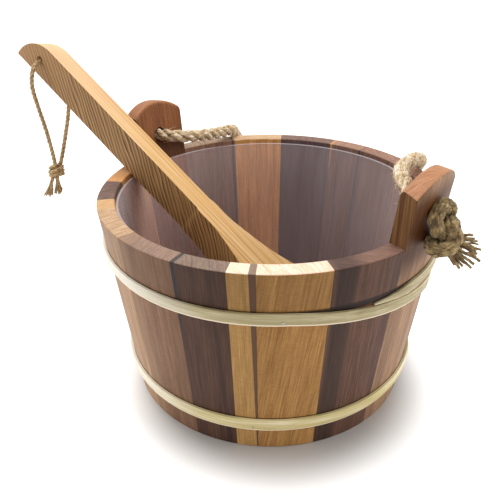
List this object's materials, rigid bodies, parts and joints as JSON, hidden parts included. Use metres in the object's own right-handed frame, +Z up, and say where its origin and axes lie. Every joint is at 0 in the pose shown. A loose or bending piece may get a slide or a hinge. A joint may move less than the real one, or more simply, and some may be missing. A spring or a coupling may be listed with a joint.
{
  "type": "wooden piggin",
  "caption": "Coopered wooden pail with two raised ears, a rope handle, split-wood hoops, a clear liner and a wooden ladle with a cord loop.",
  "frame": {"origin": "centre of the pail's foot circle, on the surface that it stands on", "axes": "+Z up the pail's axis, -Y towards the viewer of the picture, +X to the viewer's right"},
  "size_m": [0.3407, 0.2791, 0.2503],
  "materials": {
    "orange_wood": "smooth planed wood, unvarnished",
    "dark_wood": "smooth planed wood, unvarnished",
    "brown_wood": "smooth planed wood, unvarnished",
    "tan_wood": "smooth planed wood, unvarnished",
    "ear_wood": "smooth planed wood, unvarnished",
    "board_wood": "smooth planed wood, unvarnished",
    "ladle_wood": "smooth planed wood, unvarnished",
    "hoop_wood": "smooth planed wood, unvarnished",
    "liner_plastic": "clear, slightly smoky, glossy",
    "nail_steel": "dull",
    "rope_fibre": "hairy laid natural fibre",
    "cord_fibre": "twisted natural fibre"
  },
  "bodies": {
    "pail": {"stave_01": "orange_wood", "stave_02": "dark_wood", "stave_03": "orange_wood", "stave_04": "brown_wood", "stave_05": "dark_wood", "stave_06": "tan_wood", "stave_07": "tan_wood", "stave_08": "dark_wood", "stave_09": "brown_wood", "stave_10": "brown_wood", "stave_11": "brown_wood", "stave_12": "brown_wood", "stave_13": "brown_wood", "stave_14": "dark_wood", "stave_15": "tan_wood", "stave_16": "brown_wood", "ear_stave_left": "ear_wood", "ear_stave_right": "ear_wood", "bottom_board_front": "board_wood", "bottom_board_middle": "board_wood", "bottom_board_back": "board_wood", "liner": "liner_plastic", "upper_hoop": "hoop_wood", "lower_hoop": "hoop_wood", "upper_hoop_nail": "nail_steel", "lower_hoop_nail": "nail_steel", "rope_end_left": "rope_fibre", "rope_end_right": "rope_fibre"},
    "handle": {"rope_handle": "rope_fibre"},
    "ladle": {"ladle": "ladle_wood", "ladle_cord": "cord_fibre", "ladle_cord_knot": "cord_fibre", "ladle_cord_tail_left": "cord_fibre", "ladle_cord_tail_right": "cord_fibre"}
  },
  "joints": [
    {"name": "handle_swing", "type": "hinge", "parent": "pail", "child": "handle", "pos_m": [0, 0, 0.1755], "axis": [0.7716, -0.6361, 0], "range_deg": [0, 98]},
    {"name": "ladle_lift", "type": "slide", "parent": "pail", "child": "ladle", "axis": [0, 0, 1], "range_m": [0, 0.14]}
  ]
}
